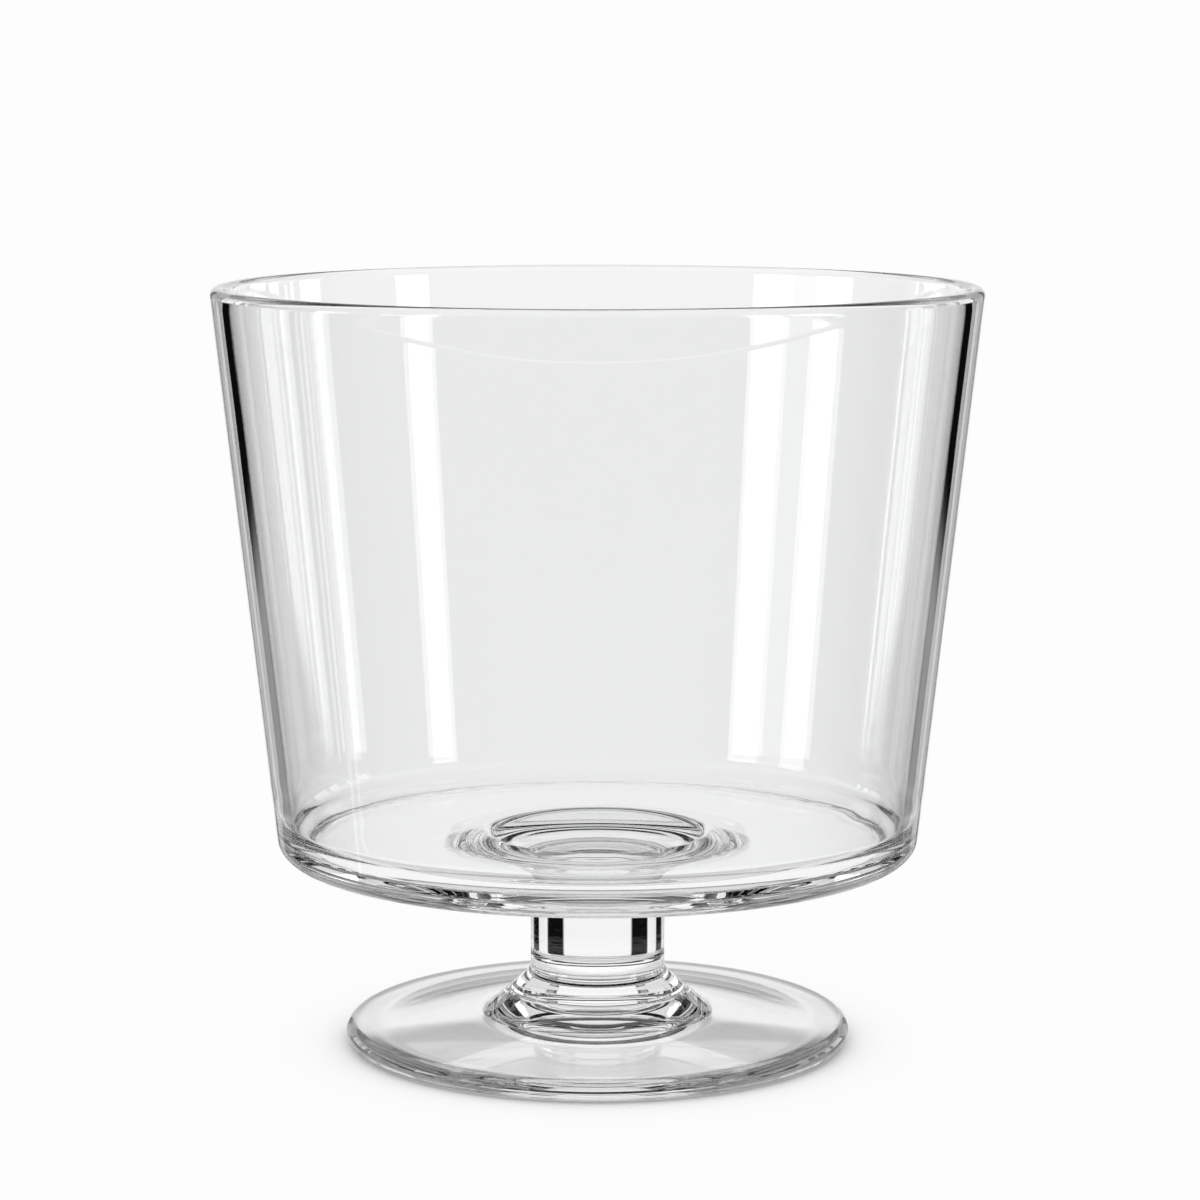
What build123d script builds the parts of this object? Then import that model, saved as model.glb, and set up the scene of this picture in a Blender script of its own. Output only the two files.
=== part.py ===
from build123d import *
import math
import os

# Footed glass trifle bowl. Millimetres, +Z up, origin under the middle of the foot.

# Bowl: a straight cone with a rounded rim, a rounded lower corner and a nearly flat floor.
rim_diameter = 200.0
total_height = 199.5
wall_thickness = 4.5
base_diameter = 167.7
base_corner_radius = 6.0
underside_height = 50.0
floor_thickness = 5.2
floor_fillet_radius = 8.0

# Well: the floor rises from a shoulder to a round lip and then sinks over the stem.
well_shoulder_diameter = 80.0
well_shoulder_radius = 12.0
well_diameter = 57.0
well_lip_rise = 1.7
well_lip_radius = 3.0
well_floor_diameter = 48.0
well_depth = 7.0
well_floor_radius = 7.0

# Stem: a solid round bar with a conical flare at each end.
stem_diameter = 35.5
upper_flare_reach = 12.3
upper_flare_height = 10.3
upper_bend_radius = 8.0
upper_blend_radius = 27.0
lower_flare_reach = 11.8
lower_flare_height = 10.5
lower_bend_radius = 5.0
lower_blend_radius = 5.0

# Foot: a disc with a fully rounded edge, a sloping top and a shallow hollow under it.
foot_diameter = 133.2
foot_edge_thickness = 5.6
foot_top_slope = math.radians(4.0)
foot_hollow_diameter = 116.0
foot_hollow_height = 3.5


def along(point, direction, distance):
    """The point a distance away from another along a unit direction."""
    return (point[0] + direction[0] * distance, point[1] + direction[1] * distance)


def unit(angle):
    """Unit direction at an angle above the radius."""
    return (math.cos(angle), math.sin(angle))


def towards(start, end):
    """Unit direction from one point to another."""
    return unit(math.atan2(end[1] - start[1], end[0] - start[0]))


def bend(before, corner, after, radius):
    """First, middle and last point of the round that turns a corner with a radius."""
    back = towards(corner, before)
    ahead = towards(corner, after)
    half = math.acos(back[0] * ahead[0] + back[1] * ahead[1]) / 2
    reach = radius / math.tan(half)
    first = along(corner, back, reach)
    last = along(corner, ahead, reach)
    inward = towards(corner, ((first[0] + last[0]) / 2, (first[1] + last[1]) / 2))
    middle = along(corner, inward, radius / math.sin(half) - radius)
    return first, middle, last


def run(start, corners, end):
    """Lines from start to end over corners, each given as a point and its radius."""
    points = [start] + [point for point, radius in corners] + [end]
    edges = []
    here = start
    for index, (corner, radius) in enumerate(corners):
        first, middle, last = bend(points[index], corner, points[index + 2], radius)
        edges += [Line(here, first), ThreePointArc(first, middle, last)]
        here = last
    return edges + [Line(here, end)]


def arc(centre, radius, start, end):
    """Circular arc in the profile between two angles in radians."""
    first = along(centre, unit(start), radius)
    middle = along(centre, unit((start + end) / 2), radius)
    last = along(centre, unit(end), radius)
    return ThreePointArc(first, middle, last)


def turned(edges):
    """Solid turned about the axis from a closed half profile."""
    return revolve(make_face([Plane.XZ * edge for edge in edges]), Axis.Z)


def joint_on(high, high_radius, high_next, low, low_radius, low_next):
    """Middle of the straight stretch of a flare, between its two rounds."""
    above = bend(high_next, high, low, high_radius)[2]
    below = bend(high, low, low_next, low_radius)[0]
    return ((above[0] + below[0]) / 2, (above[1] + below[1]) / 2)


# Wall: its lean makes the outer face meet base_diameter at the height of the underside.
half_wall = wall_thickness / 2
rim_centre = (rim_diameter / 2 - half_wall, total_height - half_wall)
base_corner = (base_diameter / 2, underside_height)
run_in = rim_centre[0] - base_corner[0]
run_down = rim_centre[1] - base_corner[1]
wall_lean = math.atan2(run_in, run_down) + math.asin(half_wall / math.hypot(run_in, run_down))
wall_normal = (math.cos(wall_lean), -math.sin(wall_lean))
rim_outer = along(rim_centre, wall_normal, half_wall)
rim_inner = along(rim_centre, wall_normal, -half_wall)

# Inside of the bowl: the foot of the inner wall, the shoulder, the lip and the well's floor.
floor_height = underside_height + floor_thickness
floor_corner = (rim_inner[0] - (rim_inner[1] - floor_height) * math.tan(wall_lean), floor_height)
well_shoulder = (well_shoulder_diameter / 2, floor_height)
well_lip = (well_diameter / 2, floor_height + well_lip_rise)
well_corner = (well_floor_diameter / 2, well_lip[1] - well_depth)
well_middle = (0, well_corner[1])

# Foot edge: a half round whose upper end runs straight into the sloping top.
edge_radius = foot_edge_thickness / 2
edge_centre = (foot_diameter / 2 - edge_radius, edge_radius)
edge_top = along(edge_centre, unit(math.pi / 2 - foot_top_slope), edge_radius)

# Flares: the corners where the bar, the cones, the underside and the foot's top meet.
stem_radius = stem_diameter / 2
upper_corner = (stem_radius + upper_flare_reach, underside_height)
upper_bend = (stem_radius, underside_height - upper_flare_height)
lower_reach = stem_radius + lower_flare_reach
lower_corner = (lower_reach, edge_top[1] + (edge_top[0] - lower_reach) * math.tan(foot_top_slope))
lower_bend = (stem_radius, lower_corner[1] + lower_flare_height)

# Joints: flat faces across the middle of each cone, where the pieces are fused.
upper_joint = joint_on(
    upper_corner, upper_blend_radius, base_corner, upper_bend, upper_bend_radius, lower_bend
)
lower_joint = joint_on(
    lower_bend, lower_bend_radius, upper_bend, lower_corner, lower_blend_radius, edge_top
)
upper_middle = (0, upper_joint[1])
lower_middle = (0, lower_joint[1])

# Bowl: up the outside from the joint, over the rim and down the inside to the well.
outside = [(upper_corner, upper_blend_radius), (base_corner, base_corner_radius)]
inside = [
    (floor_corner, floor_fillet_radius),
    (well_shoulder, well_shoulder_radius),
    (well_lip, well_lip_radius),
    (well_corner, well_floor_radius),
]
bowl = turned(
    run(upper_joint, outside, rim_outer)
    + [
        arc(rim_centre, half_wall, -wall_lean, math.pi / 2),
        arc(rim_centre, half_wall, math.pi / 2, math.pi - wall_lean),
    ]
    + run(rim_inner, inside, well_middle)
    + [Line(well_middle, upper_middle), Line(upper_middle, upper_joint)]
)

# Stem: the bar with the inner part of each cone.
bends = [(lower_bend, lower_bend_radius), (upper_bend, upper_bend_radius)]
stem = turned(
    run(lower_joint, bends, upper_joint)
    + [
        Line(upper_joint, upper_middle),
        Line(upper_middle, lower_middle),
        Line(lower_middle, lower_joint),
    ]
)

# Foot: the hollow underside, the flat ring it rests on, the edge, the top and its cone.
hollow_edge = (foot_hollow_diameter / 2, 0)
hollow_middle = (0, foot_hollow_height)
hollow_sphere = (hollow_edge[0] ** 2 + foot_hollow_height ** 2) / (2 * foot_hollow_height)
hollow_centre = (0, foot_hollow_height - hollow_sphere)
hollow_turn = math.asin(hollow_edge[0] / hollow_sphere)
foot = turned(
    [
        arc(hollow_centre, hollow_sphere, math.pi / 2, math.pi / 2 - hollow_turn),
        Line(hollow_edge, (edge_centre[0], 0)),
        arc(edge_centre, edge_radius, -math.pi / 2, math.pi / 2 - foot_top_slope),
    ]
    + run(edge_top, [(lower_corner, lower_blend_radius)], lower_joint)
    + [Line(lower_joint, lower_middle), Line(lower_middle, hollow_middle)]
)

os.makedirs("parts", exist_ok=True)
export_step(bowl, "parts/bowl.step")
export_step(stem, "parts/stem.step")
export_step(foot, "parts/foot.step")
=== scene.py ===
# %% [markdown]
# # A footed glass trifle bowl
# The real bowl is three gathers of clear glass, fused while hot: a deep tapering bowl, a short
# stem and a disc foot. All three are bodies of revolution, so each one is a single profile line
# turned about the axis. The frame brings the pieces at their real size, and this script makes
# finer surfaces in the same places, gives them a glass finish and lights them as glass is lit in
# a studio: a white field behind, and black and bright cards at the sides.

# %% Load the frame
import math

import bpy
import numpy as np
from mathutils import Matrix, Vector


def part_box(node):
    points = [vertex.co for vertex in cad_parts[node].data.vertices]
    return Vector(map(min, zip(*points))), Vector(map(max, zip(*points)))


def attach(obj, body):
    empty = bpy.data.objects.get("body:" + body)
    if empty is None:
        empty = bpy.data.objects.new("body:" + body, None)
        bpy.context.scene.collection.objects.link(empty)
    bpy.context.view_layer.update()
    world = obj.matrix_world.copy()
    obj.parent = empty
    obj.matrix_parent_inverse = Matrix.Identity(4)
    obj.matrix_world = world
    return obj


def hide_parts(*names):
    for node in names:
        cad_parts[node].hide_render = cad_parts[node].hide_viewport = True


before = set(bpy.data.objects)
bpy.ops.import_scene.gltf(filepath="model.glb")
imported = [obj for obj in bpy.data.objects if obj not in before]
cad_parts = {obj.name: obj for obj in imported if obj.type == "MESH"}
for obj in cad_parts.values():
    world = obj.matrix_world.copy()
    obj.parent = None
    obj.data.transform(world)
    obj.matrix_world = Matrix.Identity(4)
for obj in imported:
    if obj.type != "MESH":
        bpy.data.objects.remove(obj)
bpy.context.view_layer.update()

# %% [markdown]
# ## Sizes
# The outer sizes come from the frame: the rim, the foot, the heights of the two fused joints and
# the top of the bowl. What a box can't tell, such as a wall or the radius of a round, is a named
# size in metres. Nothing is scaled, so a better size only has to be written once.

# %% Read the sizes
MM = 0.001
bowl_low, bowl_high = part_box("bowl")
stem_low, stem_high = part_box("stem")
foot_low, foot_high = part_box("foot")

rim_radius = bowl_high.x
rim_height = bowl_high.z
upper_joint_height = bowl_low.z
lower_joint_height = foot_high.z
foot_radius = foot_high.x
print("rim radius", rim_radius, "height", rim_height, "foot radius", foot_radius)
print("joints at", upper_joint_height, "and", lower_joint_height)

# %% [markdown]
# ## A profile line
# A glassmaker thinks of a profile as straight runs with rounded corners. So does this helper: it
# takes the corners and the radius of each one, swaps every corner for a circular arc that touches
# both runs, and puts points along the whole line. The rounds are what bends the light, so they
# get close points; a straight run needs fewer.

# %% Rounded profile lines
RUN_STEP = 2.5 * MM
ARC_STEP = math.radians(3.0)


def direction(start, end):
    """Unit vector from start to end."""
    return (end - start) / np.linalg.norm(end - start)


def arc(centre, radius, first, last):
    """Points centre + radius * (cos a, sin a), with a going from first to last."""
    count = max(4, int(abs(last - first) / ARC_STEP) + 1)
    angle = np.linspace(first, last, count)
    return centre + radius * np.stack([np.cos(angle), np.sin(angle)], 1)


def corner_round(before, corner, after, radius):
    """Arc that touches both runs at a corner.

    Half the opening angle h puts the touching points at radius / tan(h) from the corner, and the
    centre at radius / sin(h) from it, on the line that halves the opening.
    """
    back = direction(corner, before)
    ahead = direction(corner, after)
    half = math.acos(np.clip(back @ ahead, -1.0, 1.0)) / 2
    centre = corner + (back + ahead) / np.linalg.norm(back + ahead) * radius / math.sin(half)
    first = corner + back * radius / math.tan(half) - centre
    last = corner + ahead * radius / math.tan(half) - centre
    start = math.atan2(first[1], first[0])
    turn = math.atan2(first[0] * last[1] - first[1] * last[0], first @ last)
    return arc(centre, radius, start, start + turn)


def straight(start, end):
    """Points between start and end, without either, about RUN_STEP apart."""
    count = int(np.linalg.norm(end - start) / RUN_STEP) + 1
    share = np.linspace(0.0, 1.0, count + 1)[1:-1, None]
    return start + (end - start) * share


def joined(*stretches):
    """Stretches of profile one after another, with points on the straight gaps between them."""
    line = [np.atleast_2d(stretches[0])]
    for stretch in stretches[1:]:
        stretch = np.atleast_2d(stretch)
        line += [straight(line[-1][-1], stretch[0]), stretch]
    line = np.vstack(line)
    apart = np.linalg.norm(np.diff(line, axis=0), axis=1) > 1e-7
    return line[np.r_[True, apart]]


def rounded(points, radii):
    """Each inner corner of a run of points as its round; radii holds one value for each."""
    points = [np.array(point) for point in points]
    corners = zip(points, points[1:], points[2:], radii)
    return [corner_round(before, corner, after, radius) for before, corner, after, radius in corners]


print("one quarter round holds", len(arc(np.zeros(2), 1.0, 0.0, math.pi / 2)), "points")

# %% [markdown]
# ## Turning a profile
# Turning is the whole trick of a lathe or a glass mould: the same profile at every angle. In
# numpy that is one outer product, radius times the cosines and sines of all angles. The two
# ends of a profile lie on the axis, so each end is one shared vertex with a fan of triangles
# round it, and the surface closes. Where two glass pieces are fused there is no surface in the
# real bowl, so the flat joint faces get a second material that lets light straight through.

# %% Turn a profile into a closed piece
TURNS = 288


def turned(name, profile, joint_rows, ripple=None):
    """Closed mesh of a profile of (radius, height) points that runs from axis to axis.

    Vertex (i, j) is (r_i cos a_j, r_i sin a_j, z_i), with a_j = 2 pi j / TURNS. The ripple, if
    any, is a function of the row and the angle that gives small moves in radius and height.
    joint_rows marks the stretches of the profile that lie in a fused joint.
    """
    rings = profile[1:-1]
    rows = len(rings)
    angle = np.linspace(0.0, 2 * math.pi, TURNS, endpoint=False)
    radius = np.repeat(rings[:, :1], TURNS, 1)
    height = np.repeat(rings[:, 1:], TURNS, 1)
    if ripple is not None:
        move_out, move_up = ripple(rings, angle)
        radius = radius + move_out
        height = height + move_up
    grid = np.stack([radius * np.cos(angle), radius * np.sin(angle), height], 2)
    poles = np.array([[0.0, 0.0, profile[0, 1]], [0.0, 0.0, profile[-1, 1]]])
    vertices = np.vstack([grid.reshape(-1, 3), poles])

    row, column = np.meshgrid(np.arange(rows - 1), np.arange(TURNS), indexing="ij")
    beside = (column + 1) % TURNS
    low, high = row * TURNS, (row + 1) * TURNS
    quads = np.stack([low + column, low + beside, high + beside, high + column], 2).reshape(-1, 4)
    column = np.arange(TURNS)
    beside = (column + 1) % TURNS
    start, end = np.full(TURNS, rows * TURNS), np.full(TURNS, rows * TURNS + 1)
    last = (rows - 1) * TURNS
    first_fan = np.stack([start, beside, column], 1)
    last_fan = np.stack([end, last + column, last + beside], 1)

    mesh = bpy.data.meshes.new(name)
    faces = quads.tolist() + first_fan.tolist() + last_fan.tolist()
    mesh.from_pydata(vertices.tolist(), [], faces)
    fused = np.concatenate([
        np.repeat(joint_rows[1:-1], TURNS),
        np.full(TURNS, joint_rows[0]),
        np.full(TURNS, joint_rows[-1]),
    ])
    mesh.polygons.foreach_set("material_index", fused.astype(np.int32))
    mesh.polygons.foreach_set("use_smooth", ~fused)
    mesh.update()
    mesh.validate()
    piece = bpy.data.objects.new(name, mesh)
    bpy.context.scene.collection.objects.link(piece)
    triangles = 2 * len(quads) + 2 * TURNS
    print(name, "rows", rows, "triangles", triangles, "fused faces", int(fused.sum()))
    return piece


def rows_in_joint(profile, joint_height):
    """True for each stretch of the profile that lies flat at the height of a fused joint."""
    level = np.abs(profile[:, 1] - joint_height) < 1e-6
    return level[:-1] & level[1:]


print("one piece is turned in", TURNS, "steps")

# %% [markdown]
# ## The foot
# A pressed foot is a disc with a melted, fully round edge. It is a little hollow under the
# middle, so that it stands on a ring near its edge and doesn't rock, and its top rises gently
# to the stem. The hollow is part of a very large ball. The top ends in the lower half of a
# cone, cut at the joint.

# %% Make the foot
stem_radius = 17.75 * MM
foot_edge = 2.8 * MM
foot_slope = math.radians(4.0)
hollow_radius = 58.0 * MM
hollow_height = 3.5 * MM
lower_flare = (11.8 * MM, 10.5 * MM)
lower_blend = 5.0 * MM
lower_bend = 5.0 * MM

edge_centre = np.array([foot_radius - foot_edge, foot_edge])
edge_round = arc(edge_centre, foot_edge, -math.pi / 2, math.pi / 2 - foot_slope)
lower_reach = stem_radius + lower_flare[0]
top_at_reach = edge_round[-1, 1] + (edge_round[-1, 0] - lower_reach) * math.tan(foot_slope)
lower_corner = np.array([lower_reach, top_at_reach])
lower_neck = np.array([stem_radius, top_at_reach + lower_flare[1]])


def on_line(start, end, height):
    """Point at a height on the line through start and end."""
    share = (height - start[1]) / (end[1] - start[1])
    return start + (end - start) * share


lower_joint = on_line(lower_corner, lower_neck, lower_joint_height)
ball = (hollow_radius ** 2 + hollow_height ** 2) / (2 * hollow_height)
hollow_turn = math.asin(hollow_radius / ball)
hollow_angle = np.linspace(math.pi / 2, math.pi / 2 - hollow_turn, 28)
hollow = np.stack([ball * np.cos(hollow_angle), ball * np.sin(hollow_angle)], 1)
hollow += [0.0, hollow_height - ball]
hollow[0, 0] = 0.0
hollow[-1] = [hollow_radius, 0.0]

foot_profile = joined(
    hollow,
    edge_round,
    *rounded([edge_round[-1], lower_corner, lower_joint], [lower_blend]),
    lower_joint,
    [0.0, lower_joint_height],
)
foot = turned("foot_glass", foot_profile, rows_in_joint(foot_profile, lower_joint_height))

# %% [markdown]
# ## The stem
# The stem is a plain bar of glass with a cone at each end where it was pressed against the hot
# bowl and the hot foot. It is solid, so it works as a strong lens: it turns the studio round and
# squeezes the cards at the sides into the black bars that a stem like this shows.

# %% Make the stem
underside = 50.0 * MM
upper_flare = (12.3 * MM, 10.3 * MM)
upper_blend = 27.0 * MM
upper_bend = 8.0 * MM
upper_corner = np.array([stem_radius + upper_flare[0], underside])
upper_neck = np.array([stem_radius, underside - upper_flare[1]])
upper_joint = on_line(upper_corner, upper_neck, upper_joint_height)

stem_profile = joined(
    [0.0, lower_joint_height],
    lower_joint,
    *rounded([lower_joint, lower_neck, upper_neck, upper_joint], [lower_bend, upper_bend]),
    upper_joint,
    [0.0, upper_joint_height],
)
in_a_joint = rows_in_joint(stem_profile, lower_joint_height) | rows_in_joint(
    stem_profile, upper_joint_height
)
stem = turned("stem_glass", stem_profile, in_a_joint)

# %% [markdown]
# ## The bowl
# The bowl is a straight cone of even thickness with a fire-polished rim. Its floor meets the
# wall in a wide round, rises from a low shoulder to the lip of a well, and sinks there over the
# stem. The glass was pressed, so the plunger left faint rings where the floor turns up into the
# wall: moves of less than a tenth of a millimetre, far too small to measure with a rule, but
# enough to break the reflections there into streaks.

# %% Make the bowl
wall = 4.5 * MM
base_radius = 83.85 * MM
base_round = 6.0 * MM
floor_height = underside + 5.2 * MM
floor_round = 8.0 * MM
well_shoulder_radius = 40.0 * MM
well_shoulder_round = 12.0 * MM
well_radius = 28.5 * MM
well_lip_rise = 1.7 * MM
well_lip_round = 3.0 * MM
well_floor_radius = 24.0 * MM
well_depth = 7.0 * MM
well_floor_round = 7.0 * MM

half_wall = wall / 2
rim_centre = np.array([rim_radius - half_wall, rim_height - half_wall])
base_corner = np.array([base_radius, underside])
run_in, run_down = rim_centre - base_corner
lean = math.atan2(run_in, run_down) + math.asin(half_wall / math.hypot(run_in, run_down))
rim_round = arc(rim_centre, half_wall, -lean, math.pi - lean)
floor_corner = np.array([
    rim_round[-1, 0] - (rim_round[-1, 1] - floor_height) * math.tan(lean),
    floor_height,
])
well_shoulder = np.array([well_shoulder_radius, floor_height])
well_lip = np.array([well_radius, floor_height + well_lip_rise])
well_corner = np.array([well_floor_radius, well_lip[1] - well_depth])
well_middle = np.array([0.0, well_corner[1]])

bowl_profile = joined(
    [0.0, upper_joint_height],
    upper_joint,
    *rounded([upper_joint, upper_corner, base_corner, rim_round[0]], [upper_blend, base_round]),
    rim_round,
    *rounded(
        [rim_round[-1], floor_corner, well_shoulder, well_lip, well_corner, well_middle],
        [floor_round, well_shoulder_round, well_lip_round, well_floor_round],
    ),
    well_middle,
)


def plunger_rings(rings, angle):
    """Faint rings left by the plunger on the inside of the bowl, low on the wall.

    The move in radius is a sum of three sines of the height, whose phases drift slowly with the
    angle, under a bell that is highest just above the floor round. It only ever thins the glass.
    """
    radius, height = rings[:, :1], rings[:, 1:]
    inside = np.arange(len(rings))[:, None] > len(rings) - np.argmax(rings[::-1, 1]) - 1
    middle, spread = floor_height + floor_round, 11.0 * MM
    bell = np.exp(-((height - middle) / spread) ** 2) * inside * (radius > well_radius * 2)
    drift = 0.9 * np.sin(2 * angle + 0.4) + 0.6 * np.sin(5 * angle + 2.1)
    lengths = (9.0 * MM, 5.5 * MM, 3.7 * MM)
    depths = (0.05 * MM, 0.03 * MM, 0.015 * MM)
    phases = (0.3, 1.9, 4.0)
    moves = [
        depth * (1 + np.sin(2 * math.pi * height / length + drift * share + phase)) / 2
        for length, depth, phase, share in zip(lengths, depths, phases, (1.0, 1.7, 2.3))
    ]
    return bell * sum(moves), np.zeros_like(bell * drift)


bowl = turned(
    "bowl_glass", bowl_profile, rows_in_joint(bowl_profile, upper_joint_height), plunger_rings
)

# %% [markdown]
# ## Clear glass
# Colourless glass is a Principled BSDF with full transmission and the index of soda glass. A
# perfect surface would look computed, so a very shallow bump gives it the slow waves of a
# fire-polished skin, and the roughness rises a trace where the foot has been slid about on
# tables. The joint material is empty: it only lets light pass where two pieces are fused.

# %% Glass and joint materials
glass = bpy.data.materials.new("clear_glass")
glass.use_nodes = True
tree = glass.node_tree
surface = tree.nodes["Principled BSDF"]
surface.inputs["Base Color"].default_value = (0.992, 0.996, 0.995, 1.0)
surface.inputs["IOR"].default_value = 1.52
surface.inputs["Transmission Weight"].default_value = 1.0

place = tree.nodes.new("ShaderNodeTexCoord")
waves = tree.nodes.new("ShaderNodeTexNoise")
waves.inputs["Scale"].default_value = 26.0
waves.inputs["Detail"].default_value = 1.0
skin = tree.nodes.new("ShaderNodeBump")
skin.inputs["Strength"].default_value = 0.05
skin.inputs["Distance"].default_value = 0.0006
tree.links.new(place.outputs["Object"], waves.inputs["Vector"])
tree.links.new(waves.outputs["Fac"], skin.inputs["Height"])
tree.links.new(skin.outputs["Normal"], surface.inputs["Normal"])

split = tree.nodes.new("ShaderNodeSeparateXYZ")
scuff = tree.nodes.new("ShaderNodeMapRange")
scuff.inputs["From Min"].default_value = 0.0
scuff.inputs["From Max"].default_value = 0.4 * MM
scuff.inputs["To Min"].default_value = 0.10
scuff.inputs["To Max"].default_value = 0.0
tree.links.new(place.outputs["Object"], split.inputs["Vector"])
tree.links.new(split.outputs["Z"], scuff.inputs["Value"])
tree.links.new(scuff.outputs["Result"], surface.inputs["Roughness"])

fused_joint = bpy.data.materials.new("fused_joint")
fused_joint.use_nodes = True
tree = fused_joint.node_tree
tree.nodes.clear()
passing = tree.nodes.new("ShaderNodeBsdfTransparent")
result = tree.nodes.new("ShaderNodeOutputMaterial")
tree.links.new(passing.outputs["BSDF"], result.inputs["Surface"])

for piece, node in ((bowl, "bowl"), (stem, "stem"), (foot, "foot")):
    piece.data.materials.append(glass)
    piece.data.materials.append(fused_joint)
    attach(piece, "root")
    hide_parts(node)
bowl.visible_diffuse = False
stem.visible_diffuse = False
print("glass on", [piece.name for piece in (bowl, stem, foot)])

# %% [markdown]
# ## Maths in nodes
# The light comes from the world and the floor, and both are drawn with a few sums of the ray's
# direction. These helpers write a sum as one line each, so that the studio below reads like the
# plan of a studio.

# %% Helpers for node sums
def put(tree, socket, value):
    """Set a socket to a number, or link another socket to it."""
    if isinstance(value, (int, float)):
        socket.default_value = value
    else:
        tree.links.new(value, socket)


def sum_of(tree, operation, first, second=0.0):
    """One Math node of two values."""
    node = tree.nodes.new("ShaderNodeMath")
    node.operation = operation
    put(tree, node.inputs[0], first)
    put(tree, node.inputs[1], second)
    return node.outputs["Value"]


def blend(tree, share, first, second):
    """first where share is 0, second where share is 1."""
    node = tree.nodes.new("ShaderNodeMix")
    node.data_type = "FLOAT"
    put(tree, node.inputs[0], share)
    put(tree, node.inputs[2], first)
    put(tree, node.inputs[3], second)
    return node.outputs[0]


def step_down(tree, value, edge, soft):
    """1 below the edge, 0 above it, with a soft change of that half width."""
    node = tree.nodes.new("ShaderNodeMapRange")
    node.interpolation_type = "SMOOTHSTEP"
    put(tree, node.inputs["Value"], value)
    node.inputs["From Min"].default_value = edge - soft
    node.inputs["From Max"].default_value = edge + soft
    node.inputs["To Min"].default_value = 1.0
    node.inputs["To Max"].default_value = 0.0
    return node.outputs["Result"]


def away_from(tree, angle, centre):
    """Distance of an angle in degrees from a centre, round the circle."""
    node = tree.nodes.new("ShaderNodeMath")
    node.operation = "WRAP"
    put(tree, node.inputs[0], sum_of(tree, "SUBTRACT", angle, centre))
    node.inputs[1].default_value = 180.0
    node.inputs[2].default_value = -180.0
    return sum_of(tree, "ABSOLUTE", node.outputs["Value"])


print("node helpers ready")

# %% [markdown]
# ## The studio
# Glass has no colour of its own: it shows what stands round it. So the studio is drawn for each
# kind of ray. A ray that reaches the world directly, or straight through both walls of the bowl,
# sees the white background. A ray through the solid stem or foot sees white fields with black
# cards between them. A ray reflected once or twice sees a dark room with the white background,
# tall soft lamps at the sides and strips above. Rays that light the floor see plain white.
#
# Light that is reflected more often is caught in the wall or in a thick edge. What it would see
# in a real studio depends on many small things, so here it gets a plain tone by the number of
# its reflections: a simple room first, then dark, bright, dark again and bright. The steps were
# chosen until the rim and the edges looked right. They are a painter's choice and not
# physics, and under other lamps the edges will look different.

# %% World
PAPER = 0.982
WHITE_HALF = 22.0
SLIT_HALF = 7.0
ROOM = 0.004
UNDER_GLASS = 0.05

# Lamps and fields of the dark room: azimuth, half width, lowest, highest (degrees), strength.
lamps = (
    (0.0, 15.0, -90.0, 17.0, 1.0),
    (-17.5, 1.5, -90.0, 17.0, 0.3),
    (17.5, 1.5, -90.0, 17.0, 0.3),
    (-24.0, 4.5, -90.0, 17.0, 0.8),
    (24.0, 4.5, -90.0, 17.0, 0.8),
    (-34.0, 6.0, -90.0, -10.5, 0.35),
    (34.0, 6.0, -90.0, -10.5, 0.35),
    (0.0, 30.0, 24.0, 31.0, 1.0),
    (0.0, 30.0, 42.0, 50.0, 1.0),
    (0.0, 30.0, 60.0, 67.0, 1.0),
    (0.0, 75.0, 9.0, 17.0, 0.8),
    (27.0, 6.0, -4.0, 12.0, 0.7),
    (41.2, 6.2, -4.0, 12.0, 2.2),
    (53.0, 3.0, -4.0, 12.0, 2.2),
    (63.6, 0.9, -4.0, 12.0, 2.4),
    (74.5, 3.6, -4.0, 12.0, 2.6),
    (117.4, 5.2, -4.0, 12.0, 3.5),
    (-27.0, 6.0, -4.0, 12.0, 0.7),
    (-40.5, 6.0, -4.0, 12.0, 1.5),
    (-41.6, 0.7, -4.0, 12.0, 2.6),
    (-49.2, 1.9, -4.0, 12.0, 2.8),
    (-55.4, 0.8, -4.0, 12.0, 3.2),
    (-59.7, 2.8, -4.0, 12.0, 0.4),
    (-97.3, 6.2, -4.0, 12.0, 3.5),
    (-108.8, 5.4, -4.0, 12.0, 1.0),
    (-120.7, 6.5, -4.0, 12.0, 3.5),
    (-85.2, 0.7, -40.0, -6.5, 1.2),
)
TABLE_EDGE = -27.0
BELOW_EDGE = -14.0
BEHIND_HALF = 90.0
OPEN_SKY = 14.0
CARD_QUARTER = 45.0

# Softness of each edge in degrees.
LAMP_SOFT_ACROSS = 0.4
LAMP_SOFT_ALONG = 1.0
TABLE_SOFT = 2.0
BELOW_SOFT = 1.5
BEHIND_SOFT = 4.0
CARD_SOFT = 1.0
SKY_SOFT = 3.0

# Counts of glass surfaces passed: one or more, more than a solid piece has, and both bowl walls.
INTO_GLASS = 0.5
PAST_SOLID = 2.5
THROUGH_WALLS = 3.5
ONE_OR_MORE = 0.5

# How often light has to be reflected to see the simpler room, to be caught in a thick edge, to
# come out of it, to be lost in the wall and to be guided all the way down the wall.
OFTEN_AFTER = 2.5
EDGE_AFTER = 8.5
PAST_EDGE_AFTER = 13.5
LOST_AFTER = 30.5
GUIDED_AFTER = 110.5
BRIGHT = 0.92

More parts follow.
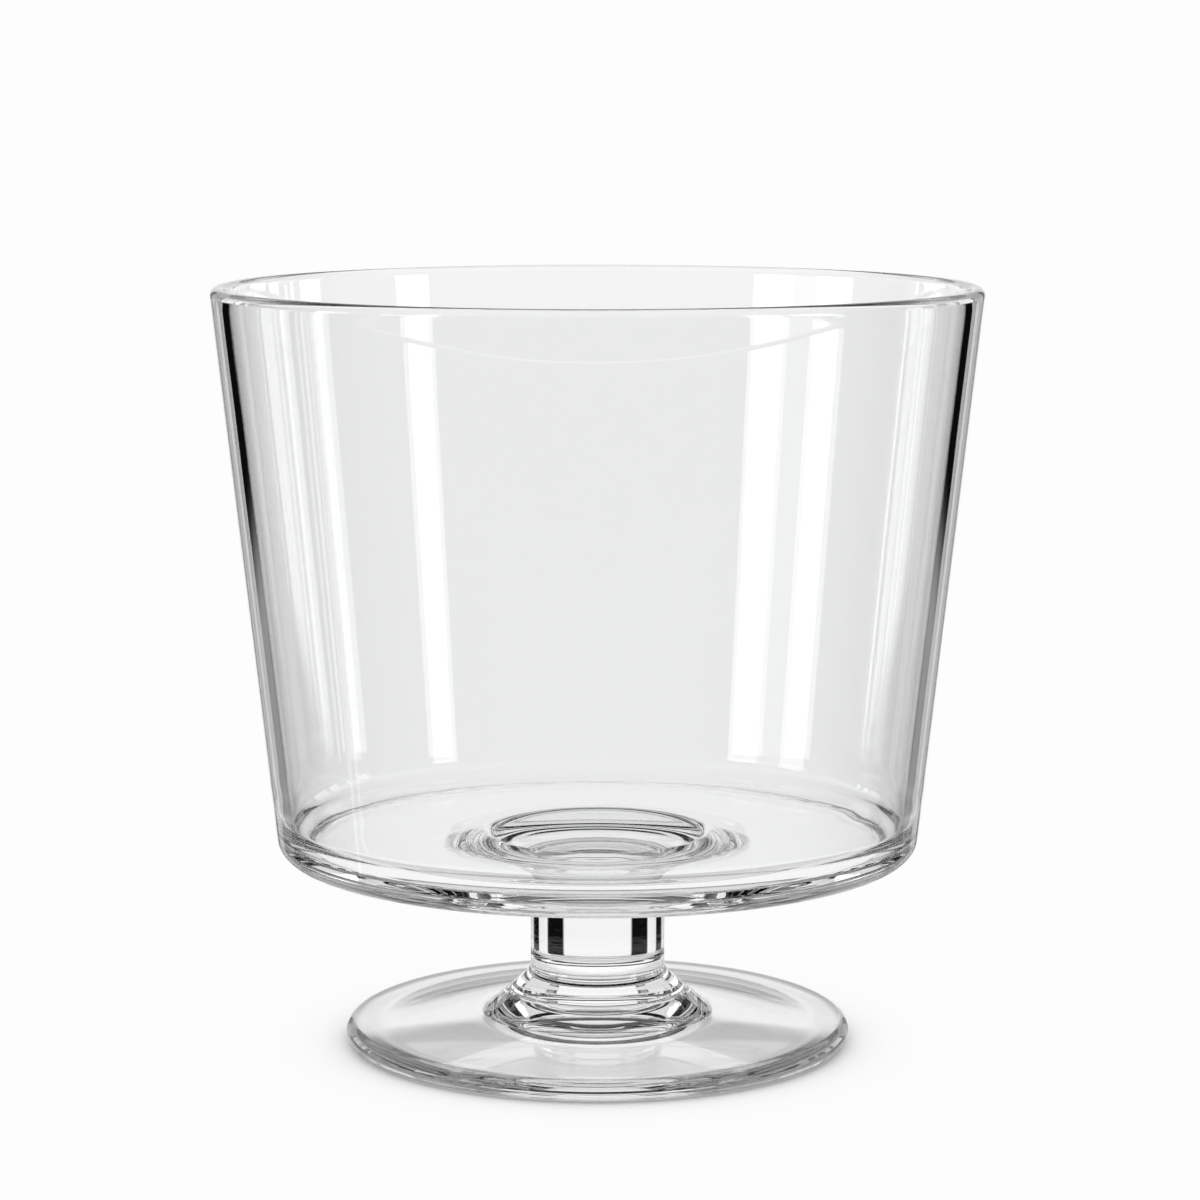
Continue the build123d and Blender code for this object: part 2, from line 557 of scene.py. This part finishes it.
world = bpy.data.worlds.new("studio")
bpy.context.scene.world = world
world.use_nodes = True
world.cycles.sampling_method = "NONE"
tree = world.node_tree
tree.nodes.clear()
rays = tree.nodes.new("ShaderNodeLightPath")
coordinates = tree.nodes.new("ShaderNodeTexCoord")
split = tree.nodes.new("ShaderNodeSeparateXYZ")
tree.links.new(coordinates.outputs["Generated"], split.inputs["Vector"])
azimuth = sum_of(tree, "DEGREES", sum_of(tree, "ARCTAN2", split.outputs["X"], split.outputs["Y"]))
elevation = sum_of(tree, "DEGREES", sum_of(tree, "ARCSINE", split.outputs["Z"]))

passed = rays.outputs["Transmission Depth"]
turned_back = rays.outputs["Glossy Depth"]
table = step_down(tree, elevation, TABLE_EDGE, TABLE_SOFT)
shallow = sum_of(tree, "LESS_THAN", passed, PAST_SOLID)
room = sum_of(tree, "ADD", table, ROOM)
for centre, half, lowest, highest, strength in lamps:
    across = step_down(tree, away_from(tree, azimuth, centre), half, LAMP_SOFT_ACROSS)
    middle, tall = (lowest + highest) / 2, (highest - lowest) / 2
    along = step_down(tree, away_from(tree, elevation, middle), tall, LAMP_SOFT_ALONG)
    field = sum_of(tree, "MULTIPLY", sum_of(tree, "MULTIPLY", across, along), strength)
    room = sum_of(tree, "MAXIMUM", field, room)

often = sum_of(tree, "GREATER_THAN", turned_back, OFTEN_AFTER)
in_edge = sum_of(tree, "GREATER_THAN", turned_back, EDGE_AFTER)
past_edge = sum_of(tree, "GREATER_THAN", turned_back, PAST_EDGE_AFTER)
behind = step_down(tree, away_from(tree, azimuth, 0.0), BEHIND_HALF, BEHIND_SOFT)
below = step_down(tree, elevation, BELOW_EDGE, BELOW_SOFT)
share = blend(tree, in_edge, blend(tree, shallow, behind, below), past_edge)
room = blend(tree, often, room, sum_of(tree, "MULTIPLY", share, BRIGHT))

quarter = sum_of(tree, "PINGPONG", azimuth, CARD_QUARTER)
fields = sum_of(
    tree,
    "MAXIMUM",
    step_down(tree, quarter, WHITE_HALF, CARD_SOFT),
    sum_of(tree, "SUBTRACT", 1.0, step_down(tree, quarter, CARD_QUARTER - SLIT_HALF, CARD_SOFT)),
)
above = sum_of(tree, "SUBTRACT", 1.0, step_down(tree, elevation, OPEN_SKY, SKY_SOFT))
fields = sum_of(tree, "MAXIMUM", fields, sum_of(tree, "ADD", above, table))
fields = sum_of(tree, "ADD", sum_of(tree, "MULTIPLY", fields, PAPER - ROOM), ROOM)

direct = sum_of(tree, "LESS_THAN", passed, INTO_GLASS)
through_bowl = sum_of(tree, "GREATER_THAN", passed, THROUGH_WALLS)
clear = sum_of(tree, "ADD", direct, through_bowl)
seen = blend(tree, clear, fields, PAPER)
mirrored = sum_of(tree, "GREATER_THAN", turned_back, ONE_OR_MORE)
seen = blend(tree, mirrored, seen, room)
lost = sum_of(tree, "GREATER_THAN", turned_back, LOST_AFTER)
guided = sum_of(tree, "GREATER_THAN", turned_back, GUIDED_AFTER)
seen = blend(tree, lost, seen, blend(tree, guided, ROOM, BRIGHT))
floor_light = blend(tree, direct, UNDER_GLASS, 1.0)
lighting = sum_of(tree, "GREATER_THAN", rays.outputs["Diffuse Depth"], ONE_OR_MORE)
strength = blend(tree, lighting, seen, floor_light)

sky = tree.nodes.new("ShaderNodeBackground")
sky.inputs["Color"].default_value = (1.0, 1.0, 1.0, 1.0)
result = tree.nodes.new("ShaderNodeOutputWorld")
tree.links.new(strength, sky.inputs["Strength"])
tree.links.new(sky.outputs["Background"], result.inputs["Surface"])
print("studio with", len(lamps), "lamps and fields")

# %% [markdown]
# ## The floor
# The floor is a pale disc. Part of its white is its own glow, the rest is light that it
# receives, so the foot leaves a soft shadow where it touches. Glass rays only see the floor near
# the foot; beyond that they see the studio, as if the bowl stood on a small white table. Under
# the foot the glow is raised into a painted pool of light, and under the stem it is painted in
# light and dark rings, which the lower cone bends into light and dark crescents. Light that
# counts as lost in the wall finds the floor painted dark as well.

# %% Floor
FLOOR_RADIUS = 4.0
TABLE_RADIUS = 0.072
OWN_GLOW = 0.1
# Painted pool of light: the floor under the foot glows much more than its own even glow.
PAINTED_LIGHT_UNDER_FOOT = 0.72
# Spacing and reach of the painted light and dark rings of glow under the stem.
RING_STEP = 8.5 * MM
RING_REACH = 27.0 * MM

angle = np.linspace(0.0, 2 * math.pi, 96, endpoint=False)
ring = np.stack([np.cos(angle), np.sin(angle), np.zeros_like(angle)], 1) * FLOOR_RADIUS
ring[:, 2] = -0.2 * MM
mesh = bpy.data.meshes.new("floor")
mesh.from_pydata(ring.tolist(), [], [list(range(len(ring)))])
floor = bpy.data.objects.new("floor", mesh)
bpy.context.scene.collection.objects.link(floor)

pale = bpy.data.materials.new("pale_floor")
pale.use_nodes = True
tree = pale.node_tree
tree.nodes.clear()
rays = tree.nodes.new("ShaderNodeLightPath")
coordinates = tree.nodes.new("ShaderNodeTexCoord")
reach = tree.nodes.new("ShaderNodeVectorMath")
reach.operation = "LENGTH"
tree.links.new(coordinates.outputs["Object"], reach.inputs[0])
near = step_down(tree, reach.outputs["Value"], TABLE_RADIUS, 6.0 * MM)
shown = sum_of(tree, "MAXIMUM", near, rays.outputs["Is Camera Ray"])
# Painted shade: for light counted as lost in the wall, the floor's colour and glow are painted dark.
lost = sum_of(tree, "GREATER_THAN", rays.outputs["Glossy Depth"], LOST_AFTER)
guided = sum_of(tree, "GREATER_THAN", rays.outputs["Glossy Depth"], GUIDED_AFTER)
kept = sum_of(tree, "ADD", sum_of(tree, "SUBTRACT", 1.0, lost), guided)
matt = tree.nodes.new("ShaderNodeBsdfDiffuse")
put(tree, matt.inputs["Color"], sum_of(tree, "MULTIPLY", kept, PAPER - OWN_GLOW))
glow = tree.nodes.new("ShaderNodeEmission")
glow.inputs["Color"].default_value = (1.0, 1.0, 1.0, 1.0)
# Painted light on the floor: a strong glow under the foot, and under the stem painted rings of full
# glow and none.
under_foot = step_down(tree, reach.outputs["Value"], foot_radius - foot_edge, 1.5 * MM)
turns = sum_of(tree, "MULTIPLY", reach.outputs["Value"], 2 * math.pi / RING_STEP)
rings = sum_of(tree, "GREATER_THAN", sum_of(tree, "COSINE", turns), 0.0)
under_stem = step_down(tree, reach.outputs["Value"], RING_REACH, 1.0 * MM)
painted_foot_light = blend(tree, under_stem, PAINTED_LIGHT_UNDER_FOOT, rings)
glow_with_painted_light = blend(tree, under_foot, OWN_GLOW, painted_foot_light)
put(tree, glow.inputs["Strength"], sum_of(tree, "MULTIPLY", glow_with_painted_light, kept))
both = tree.nodes.new("ShaderNodeAddShader")
passing = tree.nodes.new("ShaderNodeBsdfTransparent")
pick = tree.nodes.new("ShaderNodeMixShader")
result = tree.nodes.new("ShaderNodeOutputMaterial")
tree.links.new(matt.outputs["BSDF"], both.inputs[0])
tree.links.new(glow.outputs["Emission"], both.inputs[1])
tree.links.new(shown, pick.inputs["Fac"])
tree.links.new(passing.outputs["BSDF"], pick.inputs[1])
tree.links.new(both.outputs["Shader"], pick.inputs[2])
tree.links.new(pick.outputs["Shader"], result.inputs["Surface"])
mesh.materials.append(pale)
print("floor radius", FLOOR_RADIUS, "table radius", TABLE_RADIUS)

# %% [markdown]
# ## The camera
# The camera stands almost a metre away and looks slightly down, so that the rim is a narrow
# ellipse and the foot a wider one. Its distance, height, tilt and lens were fitted together to
# the outlines of rim, base and foot.

# %% Camera
camera = bpy.data.cameras.new("camera")
camera.sensor_width = 36.0
camera.lens = 112.785
camera.clip_start = 0.01
viewer = bpy.data.objects.new("camera", camera)
viewer.location = (0.65 * MM, -974.86 * MM, 256.16 * MM)
viewer.rotation_euler = (math.pi / 2 - 0.1417, 0.0, 0.0)
bpy.context.scene.collection.objects.link(viewer)
bpy.context.scene.camera = viewer
bpy.context.scene.view_settings.view_transform = "Standard"
print("lens", camera.lens, "at", tuple(viewer.location))

# %% [markdown]
# ## Light paths
# Light is caught in thick glass and may turn back hundreds of times before it leaves, most of
# all under the rim. With few bounces that light would end as black, so the renderer follows it
# much further than usual.

# %% Bounces
paths = bpy.context.scene.cycles
BOUNCES = 300
paths.max_bounces = BOUNCES
paths.transmission_bounces = BOUNCES
paths.transparent_max_bounces = BOUNCES
paths.glossy_bounces = BOUNCES
print("light is followed through", paths.max_bounces, "bounces")
